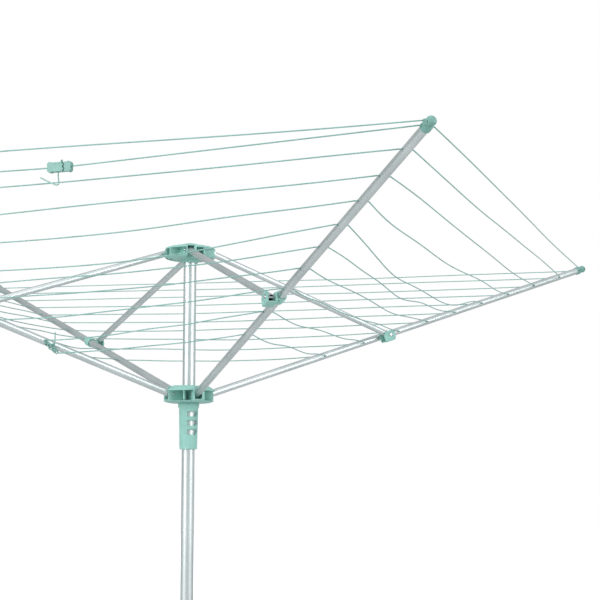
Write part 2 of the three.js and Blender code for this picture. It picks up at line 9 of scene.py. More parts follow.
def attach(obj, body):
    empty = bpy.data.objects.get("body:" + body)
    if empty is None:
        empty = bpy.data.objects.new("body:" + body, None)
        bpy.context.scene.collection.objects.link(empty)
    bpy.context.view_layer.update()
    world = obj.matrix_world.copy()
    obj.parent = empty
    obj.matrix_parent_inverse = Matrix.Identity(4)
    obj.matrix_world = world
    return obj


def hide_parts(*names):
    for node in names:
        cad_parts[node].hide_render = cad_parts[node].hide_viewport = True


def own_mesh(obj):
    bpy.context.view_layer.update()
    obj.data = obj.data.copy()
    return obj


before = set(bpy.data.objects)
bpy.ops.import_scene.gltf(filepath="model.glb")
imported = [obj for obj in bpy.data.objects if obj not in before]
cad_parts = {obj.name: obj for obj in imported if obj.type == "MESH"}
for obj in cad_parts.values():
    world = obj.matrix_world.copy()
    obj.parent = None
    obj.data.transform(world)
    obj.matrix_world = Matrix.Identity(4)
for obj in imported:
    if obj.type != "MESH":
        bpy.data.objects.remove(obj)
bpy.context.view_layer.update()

MM = 0.001

# ---------- driving dimensions, in millimetres, as in the CAD ----------
MAST_R = 17.5
MAST_WALL = 1.5
MAST_FOOT_Z = -290
RUNNER_Z = 1350
PIVOT_R = 54
ARM_TILT = math.radians(18.3)
ARM_YAW = [-5.8, 2.4, 4.2, 5.1]
ARM_AZIMUTH = [-90, 0, 90, 180]
ARM_R = 10
ARM_WALL = 1.2
ARM_ROOT_OVERHANG = 9
STRUT_R = 8.75
STRUT_WALL = 1.2
STRUT_OVERHANG = 8
STRUT_SIDE = 25
BRACKET_S = 628
TIP_S = 1433
HOLES_S = [TIP_S] + [1339.5 - 110.6 * i for i in range(7)] + [543.8, 402.6]
LINE_R = 1.5
LINE_HOLE_R = 2.6
PIN_R = 4
HUB_R = 70
GAP = 0.3
RISE = 2 * BRACKET_S * math.sin(ARM_TILT)
UPPER_Z = RUNNER_Z + RISE
MAST_TOP_Z = UPPER_Z + 8
HOLE_EXIT = ARM_R + 6
ROUND = 48                           # sides of a smooth round piece


# ---------- camera ----------
def make_camera():
    """The viewpoint: just below arm height, from between arms 4 and 1."""
    azimuth = math.radians(-24.6)
    distance, below_pivots = 4.2928, 0.2566
    pan, pitch, roll = 0.0715, 0.1209, 0.0014
    turn = Matrix.Rotation(azimuth, 3, "Z")
    forward = Vector((math.sin(pan) * math.cos(pitch), math.cos(pan) * math.cos(pitch), math.sin(pitch)))
    right = Vector((math.cos(pan), -math.sin(pan), 0))
    up = right.cross(forward)
    right, up = (
        right * math.cos(roll) + up * math.sin(roll),
        up * math.cos(roll) - right * math.sin(roll),
    )
    camera = bpy.data.objects.new("camera", bpy.data.cameras.new("camera"))
    bpy.context.scene.collection.objects.link(camera)
    rotation = Matrix((turn @ right, turn @ up, turn @ -forward)).transposed()
    place = turn @ Vector((0, -distance, RUNNER_Z * MM - below_pivots))
    camera.matrix_world = Matrix.Translation(place) @ rotation.to_4x4()
    camera.data.sensor_width = 36.0
    camera.data.lens = 93.069
    camera.data.clip_end = 60
    bpy.context.scene.camera = camera


make_camera()


# ---------- arm frames ----------
def station(index):
    """An arm's upright frame at its root pin: X outwards, Y along the pin. Millimetres."""
    azimuth = math.radians(ARM_AZIMUTH[index])
    at = Vector((PIVOT_R * math.cos(azimuth), PIVOT_R * math.sin(azimuth), RUNNER_Z))
    return Matrix.Translation(at) @ Matrix.Rotation(azimuth + math.radians(ARM_YAW[index]), 4, "Z")


def arm_frame(index, fold=0.0):
    drop = 2 * BRACKET_S * (math.sin(ARM_TILT + fold) - math.sin(ARM_TILT))
    tilt = Matrix.Rotation(-ARM_TILT - fold, 4, "Y")
    return Matrix.Translation((0, 0, -drop)) @ station(index) @ tilt


def strut_frame(index):
    top = Matrix.Translation((0, -STRUT_SIDE, RISE))
    return station(index) @ top @ Matrix.Rotation(ARM_TILT, 4, "Y")


def hole_at(index, hole, side):
    """A line's end beside an arm: the arm, and the place in its frame."""
    return index, Vector((HOLES_S[hole], side, 0))


def placed(end, fold=0.0):
    index, local = end
    return arm_frame(index, fold) @ local


# ---------- materials ----------
def srgb(red, green, blue):
    def linear(value):
        value /= 255
        return value / 12.92 if value <= 0.04045 else ((value + 0.055) / 1.055) ** 2.4

    return (linear(red), linear(green), linear(blue), 1)


class Shader:
    """A Principled material with small helpers for its nodes."""

    def __init__(self, name, roughness, metallic=0.0, **sockets):
        self.material = bpy.data.materials.new(name)
        self.material.use_nodes = True
        self.tree = self.material.node_tree
        self.main = self.tree.nodes["Principled BSDF"]
        self.main.inputs["Roughness"].default_value = roughness
        self.main.inputs["Metallic"].default_value = metallic
        for socket, value in sockets.items():
            self.main.inputs[socket.replace("_", " ")].default_value = value

    def node(self, kind, **values):
        made = self.tree.nodes.new("ShaderNode" + kind)
        for key, value in values.items():
            setattr(made, key, value)
        return made

    def link(self, source, target):
        self.tree.links.new(source, target)

    def coordinates(self, stretch=(1, 1, 1)):
        place = self.node("TexCoord")
        scale = self.node("Mapping")
        scale.inputs["Scale"].default_value = stretch
        self.link(place.outputs["Object"], scale.inputs["Vector"])
        return scale.outputs["Vector"]

    def noise(self, size, detail=3.0, stretch=(1, 1, 1)):
        """Noise whose blotches are about size metres across."""
        made = self.node("TexNoise")
        made.inputs["Scale"].default_value = 1 / size
        made.inputs["Detail"].default_value = detail
        self.link(self.coordinates(stretch), made.inputs["Vector"])
        return made.outputs["Fac"]

    def ramp(self, source, low, high, start=0.3, end=0.7):
        made = self.node("ValToRGB")
        made.color_ramp.elements[0].position = start
        made.color_ramp.elements[0].color = low
        made.color_ramp.elements[1].position = end
        made.color_ramp.elements[1].color = high
        self.link(source, made.inputs["Fac"])
        return made.outputs["Color"]

    def colour(self, source, low, high, start=0.3, end=0.7):
        self.link(self.ramp(source, low, high, start, end), self.main.inputs["Base Color"])

    def roughness(self, source, low, high):
        made = self.node("MapRange")
        made.inputs["To Min"].default_value = low
        made.inputs["To Max"].default_value = high
        self.link(source, made.inputs["Value"])
        self.link(made.outputs["Result"], self.main.inputs["Roughness"])

    def bump(self, *layers):
        """Bumps from (height source, depth in metres) pairs."""
        normal = None
        for source, depth in layers:
            made = self.node("Bump")
            made.inputs["Strength"].default_value = 1
            made.inputs["Distance"].default_value = depth
            self.link(source, made.inputs["Height"])
            if normal:
                self.link(normal, made.inputs["Normal"])
            normal = made.outputs["Normal"]
        self.link(normal, self.main.inputs["Normal"])


def make_plastic(name, low, high):
    """Moulded mint plastic: faint clouding, a fine spark-eroded skin and slight flow ripples."""
    shader = Shader(name, 0.42, Specular_IOR_Level=0.45)
    shader.colour(shader.noise(0.03), low, high)
    shader.roughness(shader.noise(0.012), 0.34, 0.5)
    shader.bump((shader.noise(0.0006, 2), 0.00002), (shader.noise(0.02, 1), 0.0001))
    return shader.material


def make_line_cover():
    """The line's soft plastic cover over twisted strands."""
    shader = Shader("coated_line", 0.35, Specular_IOR_Level=0.5)
    shader.colour(shader.noise(0.05), srgb(118, 166, 158), srgb(136, 182, 174))
    shader.roughness(shader.noise(0.01), 0.28, 0.42)
    shader.bump((shader.noise(0.004, 2), 0.00008))
    return shader.material


def make_aluminium(name, axis):
    """Drawn aluminium: hair-fine lines along the tube and a light bloom of oxide."""
    stretch = [1.0, 1.0, 1.0]
    stretch[axis] = 0.01
    shader = Shader(name, 0.3, 1.0)
    shader.colour(shader.noise(0.12, 1), srgb(200, 209, 209), srgb(216, 223, 223))
    shader.roughness(shader.noise(0.012, 1, stretch), 0.38, 0.44)
    shader.bump((shader.noise(0.006, 0, stretch), 0.000001))
    return shader.material


def make_steel():
    shader = Shader("steel_pins", 0.25, 1.0)
    shader.colour(shader.noise(0.004), srgb(190, 192, 194), srgb(226, 228, 229))
    shader.roughness(shader.noise(0.002), 0.18, 0.36)
    shader.bump((shader.noise(0.0008, 2), 0.00001))
    return shader.material


def make_socket_plastic():
    shader = Shader("socket_plastic", 0.6, Specular_IOR_Level=0.35)
    shader.colour(shader.noise(0.02), srgb(66, 78, 75), srgb(84, 97, 93))
    shader.roughness(shader.noise(0.01), 0.5, 0.7)
    shader.bump((shader.noise(0.0012, 4), 0.00008))
    return shader.material


PLASTIC = make_plastic("mint_plastic", srgb(137, 188, 178), srgb(150, 202, 192))
# A darker copy of the mint plastic for the tip caps and tensioner: painted shade, standing in for the dimmer
# light that falls on them.
SHADED_PLASTIC = make_plastic("mint_plastic_painted_shade", srgb(112, 160, 151), srgb(124, 173, 164))
LINE_COVER = make_line_cover()
TUBE_METAL = make_aluminium("aluminium_tube", 0)
MAST_METAL = make_aluminium("aluminium_mast", 2)
STEEL = make_steel()
SOCKET_PLASTIC = make_socket_plastic()


# ---------- mesh helpers, all in millimetres ----------
def mesh_object(name, verts, faces, matrix=None):
    mesh = bpy.data.meshes.new(name)
    mesh.from_pydata([tuple(v) for v in verts], [], faces)
    if matrix:
        mesh.transform(matrix)
    made = bpy.data.objects.new(name, mesh)
    bpy.context.scene.collection.objects.link(made)
    return made


def turned(outline, sides=ROUND, closed=False):
    """Vertices and faces of a body of revolution about Z. An open outline starts and ends on the axis."""
    verts, faces, rings = [], [], []
    for radius, height in outline:
        if radius < 1e-6:
            rings.append([len(verts)] * sides)
            verts.append((0, 0, height))
        else:
            first = len(verts)
            rings.append(list(range(first, first + sides)))
            for i in range(sides):
                angle = 2 * math.pi * i / sides
                verts.append((radius * math.cos(angle), radius * math.sin(angle), height))
    pairs = list(zip(rings, rings[1:])) + ([(rings[-1], rings[0])] if closed else [])
    for low, high in pairs:
        for i in range(sides):
            j = (i + 1) % sides
            face = list(dict.fromkeys([low[i], low[j], high[j], high[i]]))
            if len(face) > 2:
                faces.append(face)
    return verts, faces


def box(x0, x1, y0, y1, z0, z1):
    verts = [(x, y, z) for x in (x0, x1) for y in (y0, y1) for z in (z0, z1)]
    faces = [(0, 1, 3, 2), (4, 6, 7, 5), (0, 4, 5, 1), (2, 3, 7, 6), (0, 2, 6, 4), (1, 5, 7, 3)]
    return verts, faces


def rod(radius, z0, z1, sides=32):
    return turned([(0, z0), (radius, z0), (radius, z1), (0, z1)], sides)


def prism(outline, z0, z1):
    """A flat outline raised from z0 to z1."""
    count = len(outline)
    verts = [(x, y, z) for z in (z0, z1) for x, y in outline]
    sides = [(i, (i + 1) % count, count + (i + 1) % count, count + i) for i in range(count)]
    return verts, [tuple(reversed(range(count))), tuple(range(count, 2 * count))] + sides


def moved(shape, matrix):
    return [matrix @ Vector(v) for v in shape[0]], shape[1]


ALONG_X = Matrix.Rotation(math.radians(90), 4, "Y")
ALONG_Y = Matrix.Rotation(math.radians(-90), 4, "X")


def across(radius, y0, y1, at=(0, 0, 0), sides=24):
    """A rod along Y, through the point at."""
    return moved(rod(radius, y0, y1, sides), Matrix.Translation(at) @ ALONG_Y)


def rounded_box(x0, x1, y0, y1, z0, z1, radius, steps=5):
    """A box whose four long edges along Y are round."""
    outline = []
    corners = [(x1 - radius, z1 - radius, 0), (x0 + radius, z1 - radius, 90),
               (x0 + radius, z0 + radius, 180), (x1 - radius, z0 + radius, 270)]
    for x, z, start in corners:
        for i in range(steps + 1):
            angle = math.radians(start + 90 * i / steps)
            outline.append((x + radius * math.cos(angle), z + radius * math.sin(angle)))
    verts, faces = prism(outline, -y1, -y0)
    return [(x, -depth, z) for x, z, depth in verts], faces


def tidy(obj):
    """Merges doubles and turns the faces outwards."""
    work = bmesh.new()
    work.from_mesh(obj.data)
    bmesh.ops.remove_doubles(work, verts=work.verts, dist=0.0005)
    bmesh.ops.recalc_face_normals(work, faces=work.faces)
    work.to_mesh(obj.data)
    work.free()
    return obj


def applied(obj):
    """The object with its modifiers made part of its mesh."""
    bpy.context.view_layer.update()
    seen = obj.evaluated_get(bpy.context.evaluated_depsgraph_get())
    mesh = bpy.data.meshes.new_from_object(seen)
    obj.modifiers.clear()
    obj.data = mesh
    return obj


def combine(base, shapes, operation):
    """Cuts shapes out of base, or joins them to it."""
    tools = []
    for shape in shapes:
        tool = tidy(mesh_object("tool", *shape))
        tools.append(tool)
        change = base.modifiers.new("change", "BOOLEAN")
        change.operation = operation
        change.solver = "EXACT"
        change.object = tool
    applied(base)
    for tool in tools:
        bpy.data.objects.remove(tool)
    return base


def solid(name, *shapes, cuts=()):
    """Shapes joined into one body, with the cuts taken out."""
    base = tidy(mesh_object(name, *shapes[0]))
    if len(shapes) > 1:
        combine(base, shapes[1:], "UNION")
    if cuts:
        combine(base, cuts, "DIFFERENCE")
    return base


def soften(obj, width, segments=2, angle=32):
    """Rounds the sharp edges, as a mould does."""
    work = bmesh.new()
    work.from_mesh(obj.data)
    bmesh.ops.remove_doubles(work, verts=work.verts, dist=0.01)
    bmesh.ops.dissolve_limit(work, angle_limit=math.radians(1.5), verts=work.verts, edges=work.edges,
                             use_dissolve_boundaries=False)
    work.to_mesh(obj.data)
    work.free()
    bevel = obj.modifiers.new("bevel", "BEVEL")
    bevel.width = width
    bevel.segments = segments
    bevel.limit_method = "ANGLE"
    bevel.angle_limit = math.radians(angle)
    bevel.use_clamp_overlap = True
    return applied(obj)


def finish_piece(obj, material, body, nodes=(), matrix=None, smooth=35, own_frame=False):
    """Moves a piece into place in metres, shades and paints it, and rides it on its body.

    With own_frame the mesh keeps its own axes, so that the material's streaks run along it.
    """
    scale = Matrix.Scale(MM, 4)
    if own_frame:
        obj.data.transform(scale)
        place = matrix.copy()
        place.translation *= MM
        obj.matrix_world = place
    else:
        obj.data.transform(scale @ matrix if matrix else scale)
    obj.data.materials.clear()
    obj.data.materials.append(material)
    obj.data.shade_smooth()
    if smooth:
        obj.data.set_sharp_from_angle(angle=math.radians(smooth))
    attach(obj, body)
    if nodes:
        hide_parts(*nodes)
    return obj


def round_normals(obj, radii, axis):
    """Shades a tube's walls as truly round, however the drilling has split their faces."""
    mesh = obj.data
    normals = []
    for face in mesh.polygons:
        for corner in face.loop_indices:
            out = mesh.vertices[mesh.loops[corner].vertex_index].co.copy()
            out[axis] = 0
            on_wall = any(abs(out.length - radius * MM) < 0.0001 for radius in radii)
            out.normalize()
            lined_up = face.normal.dot(out)
            if on_wall and abs(lined_up) > 0.98:
                normals.append(out * math.copysign(1, lined_up))
            else:
                normals.append(face.normal.copy())
    mesh.normals_split_custom_set(normals)


def copy_of(obj, name):
    made = bpy.data.objects.new(name, obj.data.copy())
    bpy.context.scene.collection.objects.link(made)
    return made


# ---------- ground socket ----------
def make_socket():
    floor_z = MAST_FOOT_Z - 12
    outline = [(0, floor_z - 90), (2.5, floor_z - 89.6), (4, floor_z - 88), (23, floor_z - 20), (23, 0),
               (45, 0), (46, 1), (46, 5), (45, 6), (27, 7), (25.5, 9), (24, 58), (19.6, 58),
               (19.6, floor_z), (0, floor_z)]
    body = solid("socket", turned(outline, 64))
    soften(body, 0.8)
    finish_piece(body, SOCKET_PLASTIC, "ground_socket", ["ground_socket"])
    bush_outline = [(17.8, 24), (19.3, 24), (19.3, 58.3), (25.3, 58.3), (25.5, 60), (24.2, 64), (21, 66),
                    (17.8, 66)]
    bush = solid("bush", turned(bush_outline, 64, closed=True))
    soften(bush, 0.4)
    finish_piece(bush, PLASTIC, "ground_socket", ["socket_bush"])


# ---------- mast ----------
BUTTON_AZIMUTH = math.radians(-30)
BUTTON_Z = RUNNER_Z - 78
BUTTON_R = 3.6
BUTTON_OUT = 4.6


def make_mast():
    button = Matrix.Translation((0, 0, BUTTON_Z)) @ Matrix.Rotation(BUTTON_AZIMUTH, 4, "Z")
    inner = MAST_R - MAST_WALL
    shell = turned([(inner, MAST_FOOT_Z), (MAST_R, MAST_FOOT_Z), (MAST_R, MAST_TOP_Z), (inner, MAST_TOP_Z)],
                   96, closed=True)
    hole = moved(rod(BUTTON_R + GAP, 0, 25, 24), button @ ALONG_X)
    mast = finish_piece(solid("mast", shell, cuts=[hole]), MAST_METAL, "mast", ["mast_tube"])
    round_normals(mast, (MAST_R, inner), 2)
    plug = [(0, -300), (16, -300), (18, -298), (18, -290.3), (15.7, -290.3), (15.1, -266), (14, -265),
            (0, -265)]
    finish_piece(solid("foot_plug", turned(plug)), PLASTIC, "mast", ["mast_foot_plug"])
    tip = inner + 1.5 + BUTTON_OUT
    profile = [(0, inner - 6.5), (5.2, inner - 6.5), (5.6, inner - 6), (5.6, inner - 3),
               (BUTTON_R, inner - 3), (BUTTON_R, tip - 1.4), (BUTTON_R - 0.6, tip - 0.4),
               (BUTTON_R - 1.6, tip), (0, tip)]
    finish_piece(solid("button", turned(profile, 32)), STEEL, "lock_button", ["lock_button"],
                 button @ ALONG_X)
    front, back, thick, length = inner - 6.8, -inner + 2.6, 1.0, 46
    outer = [(front, 8), (front, -8), (2, -length), (-2, -length), (back, -8), (back, 8)]
    inside = [(back + thick, 8), (back + thick, -8), (-1.2, thick - length), (1.2, thick - length),
              (front - thick, -8), (front - thick, 8)]
    verts, faces = prism(list(reversed(outer)) + list(reversed(inside)), -4, 4)
    upright = Matrix.Rotation(math.radians(90), 4, "X")
    leaf = solid("leaf", ([upright @ Vector(v) for v in verts], faces))
    soften(leaf, 0.3)
    finish_piece(leaf, STEEL, "mast", ["lock_spring"], button)
    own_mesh(leaf)


# ---------- hubs ----------
CHEEK_T = 4.9
PLATE_T = 3.6
POCKET_HALF = STRUT_R + 0.9
BAY_RIB_ANGLE = math.radians(54)
SLOTS = 3
SLOT_PITCH = 24.8
FIRST_SLOT_Z = RUNNER_Z - 61


def at_stations(shape):
    return [moved(shape, station(index)) for index in range(4)]


def make_upper_hub():
    bottom, bay_top, top = UPPER_Z - 18, UPPER_Z + 9, UPPER_Z + 21
    outline = [(0, bottom - 10), (MAST_R + 4, bottom - 10), (MAST_R + 5, bottom - 9), (MAST_R + 6.5, bottom),
               (HUB_R - 12, bottom), (HUB_R - 4, bottom + 2), (HUB_R, bottom + 4.6), (HUB_R, bay_top + 2),
               (HUB_R - 1.5, bay_top + 3.8), (HUB_R - 5, bay_top + 5.4), (HUB_R - 12, bay_top + 7.6),
               (HUB_R - 20, top - 2.6), (HUB_R - 31, top - 1), (27, top), (0, top)]
    near, far = -STRUT_SIDE + POCKET_HALF, -STRUT_SIDE - POCKET_HALF
    pocket = box(-14, 60, far, near, RISE - 50, RISE + 12.5)
    pin_hole = across(PIN_R + GAP, far - CHEEK_T - 2, near + CHEEK_T + 2, (0, 0, RISE))
    low, high = bottom + PLATE_T - RUNNER_Z, bay_top - RUNNER_Z
    near_bay = box(-14, 60, near + CHEEK_T, 12, low, high)
    far_bay = box(-14, 60, 15, 60, low, high)
    bore = rod(MAST_R + GAP, bottom - 20, MAST_TOP_Z + GAP, 64)
    seat = rod(27, top - 3, top + 5, 64)
    cuts = [bore, seat]
    for tool in (pocket, pin_hole, near_bay, far_bay):
        cuts += at_stations(tool)
    hub = solid("hub_top", turned(outline, 72), cuts=cuts)
    soften(hub, 0.7)
    finish_piece(hub, PLASTIC, "mast", ["upper_hub"])
    cap = [(0, top - 2.7), (26.7, top - 2.7), (26.7, top), (25.5, top + 1.8), (19, top + 4), (10, top + 6.2),
           (0, top + 7)]
    finish_piece(solid("hub_cap_dome", turned(cap, 64)), PLASTIC, "mast", ["hub_cap"])


def make_lower_hub():
    bottom, bay_top, top = RUNNER_Z - 23, RUNNER_Z + 9, RUNNER_Z + 23
    outline = [(0, bottom), (HUB_R - 13, bottom), (HUB_R - 2, bottom + 3.4), (HUB_R + 3, bottom + 7),
               (HUB_R + 3, bay_top + 3), (HUB_R - 14, top), (0, top)]
    slot_half, bay_from = ARM_R + 1.1, ARM_R + 1.1 + CHEEK_T + 0.5
    slot = box(-15, 60, -slot_half, slot_half, -15, 60)
    pin_hole = across(PIN_R + GAP, -slot_half - CHEEK_T - 4, slot_half + CHEEK_T + 4)
    bay = solid("bay", box(bay_from, 90, bay_from, 90, bottom + PLATE_T + 1, bay_top), cuts=[
        rod(26, bottom, top, 48),
        moved(box(10, 110, -1.5, 1.5, bottom, top), Matrix.Rotation(BAY_RIB_ANGLE, 4, "Z")),
    ])
    bay_shape = ([v.co.copy() for v in bay.data.vertices], [tuple(f.vertices) for f in bay.data.polygons])
    bpy.data.objects.remove(bay)
    keyway = moved(box(0, MAST_R + BUTTON_OUT + 0.7, -4.4, 4.4, bottom - 140, top + 5),
                   Matrix.Rotation(BUTTON_AZIMUTH, 4, "Z"))
    cuts = [rod(MAST_R + 0.6, bottom - 5, top + 5, 64), keyway] + at_stations(slot) + at_stations(pin_hole)
    cuts += [moved(bay_shape, Matrix.Rotation(math.radians(angle), 4, "Z")) for angle in ARM_AZIMUTH]
    octagon = moved(turned(outline, 8), Matrix.Rotation(math.radians(22.5), 4, "Z"))
    hub = solid("hub_runner", octagon, cuts=cuts)
    soften(hub, 0.9, 3)
    finish_piece(hub, PLASTIC, "runner", ["lower_hub"])
    make_sleeve(bottom, keyway)


def arc_block(start, end, inner, outer, z0, z1, steps=18):
    """A part-ring between two azimuths in degrees."""
    angles = [math.radians(start + (end - start) * i / steps) for i in range(steps + 1)]
    outline = [(outer * math.cos(a), outer * math.sin(a)) for a in angles]
    outline += [(inner * math.cos(a), inner * math.sin(a)) for a in reversed(angles)]
    return prism(outline, z0, z1)


def make_sleeve(hub_bottom, keyway):
    bottom = hub_bottom - 127
    outline = [(18.1, bottom), (23.4, bottom), (24.2, bottom + 1), (26.4, hub_bottom - 15),
               (27.4, hub_bottom - 13.4), (28.8, hub_bottom - 11.4), (29, hub_bottom - 10),
               (29, hub_bottom - 0.3), (18.1, hub_bottom - 0.3)]
    cuts = [keyway]
    for i in range(SLOTS):
        z0 = FIRST_SLOT_Z - i * SLOT_PITCH
        cuts.append(arc_block(-122, -48, 14, 45, z0, z0 + 14))
        cuts.append(arc_block(-49, -18, 14, 45, z0 + 4, z0 + 18))
    sleeve = solid("sleeve", turned(outline, 96, closed=True), cuts=cuts)
    soften(sleeve, 0.7, 3)
    finish_piece(sleeve, PLASTIC, "runner", ["tension_sleeve"])


# ---------- arms, struts, brackets, caps and pins ----------
TUBE_END_S = TIP_S - 9
CAP_R = ARM_R + 2.2


def tube(radius, wall, x0, x1, sides=ROUND):
    outline = [(radius - wall, x0), (radius, x0), (radius, x1), (radius - wall, x1)]
    return moved(turned(outline, sides, closed=True), ALONG_X)


def arm_tube():
    drills = [across(LINE_HOLE_R, -20, 20, (s, 0, 0), 20) for s in HOLES_S[1:]]
    return solid("arm", tube(ARM_R, ARM_WALL, -ARM_ROOT_OVERHANG, TUBE_END_S),
                 cuts=[across(PIN_R + GAP, -20, 20)] + drills)


def strut_tube():
    end = BRACKET_S + STRUT_OVERHANG
    return solid("strut", tube(STRUT_R, STRUT_WALL, -STRUT_OVERHANG, end),
                 cuts=[across(PIN_R + GAP, -20, 20), across(PIN_R + GAP, -20, 20, (BRACKET_S, 0, 0))])


def bracket():
    """The ring round the arm, and the channel beside it that takes the strut's end."""
    ring_r, bore_r = ARM_R + 4.2, ARM_R + GAP
    inner = -STRUT_SIDE - POCKET_HALF
    outer = inner - 3.4
    near = -STRUT_SIDE + POCKET_HALF
    ring_outline = [(0, -13), (ring_r - 1.2, -13), (ring_r, -11.5), (ring_r, 11.5), (ring_r - 1.2, 13),
                    (0, 13)]
    ring = moved(turned(ring_outline, 48), ALONG_X)
    cheek_line = [(-21, -17.6), (10, -17.6), (15, -8.6), (15, 7), (9, 13), (-16, 13), (-24, 3), (-24, -12.6)]
    verts, faces = prism(cheek_line, 0, inner - outer)
    cheek = ([(x, inner - depth, z) for x, z, depth in verts], faces)
    inner_cheek = rounded_box(-24, 15, near, -bore_r - 1.5, -17.6, 9, 4)
    floor = box(-21, 10, outer + 0.2, -bore_r - 1.5, -17.6, -14.6)
    made = solid("bracket", ring, inner_cheek, cheek, floor, cuts=[
        moved(rod(bore_r, -50, 50, 48), ALONG_X),
        across(PIN_R + GAP, outer - 5, -bore_r - 0.5),
    ])
    return soften(made, 0.9, 3)


def tip_cap():
    """A plug in the tube's end, a collar that holds the outer line, and a round knob."""
    plug_r = ARM_R - ARM_WALL - GAP
    outline = [(0, TUBE_END_S - 24), (plug_r - 1, TUBE_END_S - 24), (plug_r, TUBE_END_S - 22),
               (plug_r, TUBE_END_S + GAP), (CAP_R - 0.5, TUBE_END_S + GAP),
               (CAP_R, TUBE_END_S + 0.9), (CAP_R, TIP_S + 5),
               (CAP_R - 1.2, TIP_S + 6.6), (8, TIP_S + 9), (7, TIP_S + 10.5), (7.2, TIP_S + 12.5),
               (9.2, TIP_S + 14.6), (10.6, TIP_S + 17.6), (11, TIP_S + 20), (10.2, TIP_S + 23.6),
               (8, TIP_S + 26.4), (4.4, TIP_S + 28), (0, TIP_S + 28.5)]
    dimple = across(2.6, -20, -7, (TIP_S + 19.5, 0, 0), 16)
    back_dimple = across(2.6, 7, 20, (TIP_S + 19.5, 0, 0), 16)
    return solid("tip", moved(turned(outline, 40), ALONG_X),
                 cuts=[across(LINE_HOLE_R, -20, 20, (TIP_S, 0, 0), 20), dimple, back_dimple])


def pin(name, y0, y1, head=None):
    """A plain pin with chamfered ends, or a rivet with a domed head of radius and thickness head."""
    profile = [(0, y0), (PIN_R - 0.6, y0), (PIN_R, y0 + 0.6), (PIN_R, y1 - 0.6), (PIN_R - 0.6, y1), (0, y1)]
    if head:
        radius, thick = head
        profile[0:3] = [(0, y0 - thick), (radius * 0.5, y0 - thick * 0.94), (radius * 0.86, y0 - thick * 0.7),
                        (radius, y0 - thick * 0.25), (radius, y0), (PIN_R, y0)]
    return solid(name, moved(turned(profile, 32), ALONG_Y))


TUBE_RADII = {"arm": (ARM_R, ARM_R - ARM_WALL), "strut": (STRUT_R, STRUT_R - STRUT_WALL)}


def make_arms():
    cheek_inner = -STRUT_SIDE - POCKET_HALF
    root_half, strut_half = ARM_R + 1.1 + CHEEK_T + 1.2, POCKET_HALF + CHEEK_T + 0.8
    shift = Matrix.Translation((BRACKET_S, 0, 0))
    patterns = {
        "arm": arm_tube(),
        "strut": strut_tube(),
        "bracket": bracket(),
        "tip": tip_cap(),
        "root_pin": pin("root_pin", -root_half, root_half),
        "strut_pin": pin("strut_pin", -STRUT_SIDE - strut_half, -STRUT_SIDE + strut_half),
        "rivet": pin("rivet", cheek_inner - 3.7, -ARM_R - 2.5, (5.6, 1.8)),
    }
    for index in range(4):
        n = index + 1
        arm, upright = arm_frame(index), station(index)
        table = [
            ("arm", "arm_tube", TUBE_METAL, f"arm_{n}", arm),
            ("strut", "strut_tube", TUBE_METAL, f"strut_{n}", strut_frame(index)),
            ("bracket", "arm_bracket", PLASTIC, f"arm_{n}", arm @ shift),
            # The tip caps take the darker mint plastic: painted shade.
            ("tip", "arm_tip_cap", SHADED_PLASTIC, f"arm_{n}", arm),
            ("root_pin", "arm_root_pin", STEEL, "runner", upright),
            ("strut_pin", "strut_pin", STEEL, "mast", upright @ Matrix.Translation((0, 0, RISE))),
            ("rivet", "bracket_rivet", STEEL, f"arm_{n}", arm @ shift),
        ]
        for pattern, node, material, body, matrix in table:
            piece = copy_of(patterns[pattern], f"fine_{node}_{n}")
            finish_piece(piece, material, body, [f"{node}_{n}"], matrix, own_frame=True)
            if pattern in TUBE_RADII:
                round_normals(piece, TUBE_RADII[pattern], 0)
    for pattern in patterns.values():
        bpy.data.objects.remove(pattern)


# ---------- clothes line ----------
def swept(name, points, radius, sides=8):
    """A round tube along points, in millimetres, with closed ends."""
    verts, faces = [], []
    side = None
    for i, point in enumerate(points):
        ahead = (points[min(i + 1, len(points) - 1)] - points[max(i - 1, 0)]).normalized()
        if side is None:
            side = ahead.cross(Vector((0, 0, 1)))
            side = side.normalized() if side.length > 0.1 else ahead.cross(Vector((1, 0, 0))).normalized()
        side = (side - ahead * side.dot(ahead)).normalized()
        other = ahead.cross(side)
        for k in range(sides):
            angle = 2 * math.pi * k / sides
            verts.append(point + radius * (math.cos(angle) * side + math.sin(angle) * other))
    for i in range(len(points) - 1):
        for k in range(sides):
            a, b = i * sides + k, i * sides + (k + 1) % sides
            faces.append((a, b, b + sides, a + sides))
    faces.append(tuple(reversed(range(sides))))
    faces.append(tuple(range(len(verts) - sides, len(verts))))
    return tidy(mesh_object(name, verts, faces))


# How far the lines hang below the straight line between their ends, from the outermost inwards,
# on the side each arm's lines leave it for.
DROOP = [
    [2, 3, 8, 26, 66, 30, 17, 10, 10, 8],
    [3, 4, 4, 5, 6, 8, 9, 12, 10, 8],
    [6, 6, 8, 8, 10, 12, 14, 12, 16, 12],
    [2, 16, 1, 7, 22, 42, 20, 10, 9, 8, 6],
]
WAVE = [9, 4, 6, 5]
HALF_STEPS = 26                      # steps along half a span
TENSIONER_SHARE = 0.546
TENSIONER_DROP = 18
LAST_HOLE = len(HOLES_S) - 1
KNOT_END = (3, Vector((HOLES_S[LAST_HOLE] - 42, HOLE_EXIT, -20)))
KNOB_END = (0, Vector((TIP_S + 20, -14, 0)))


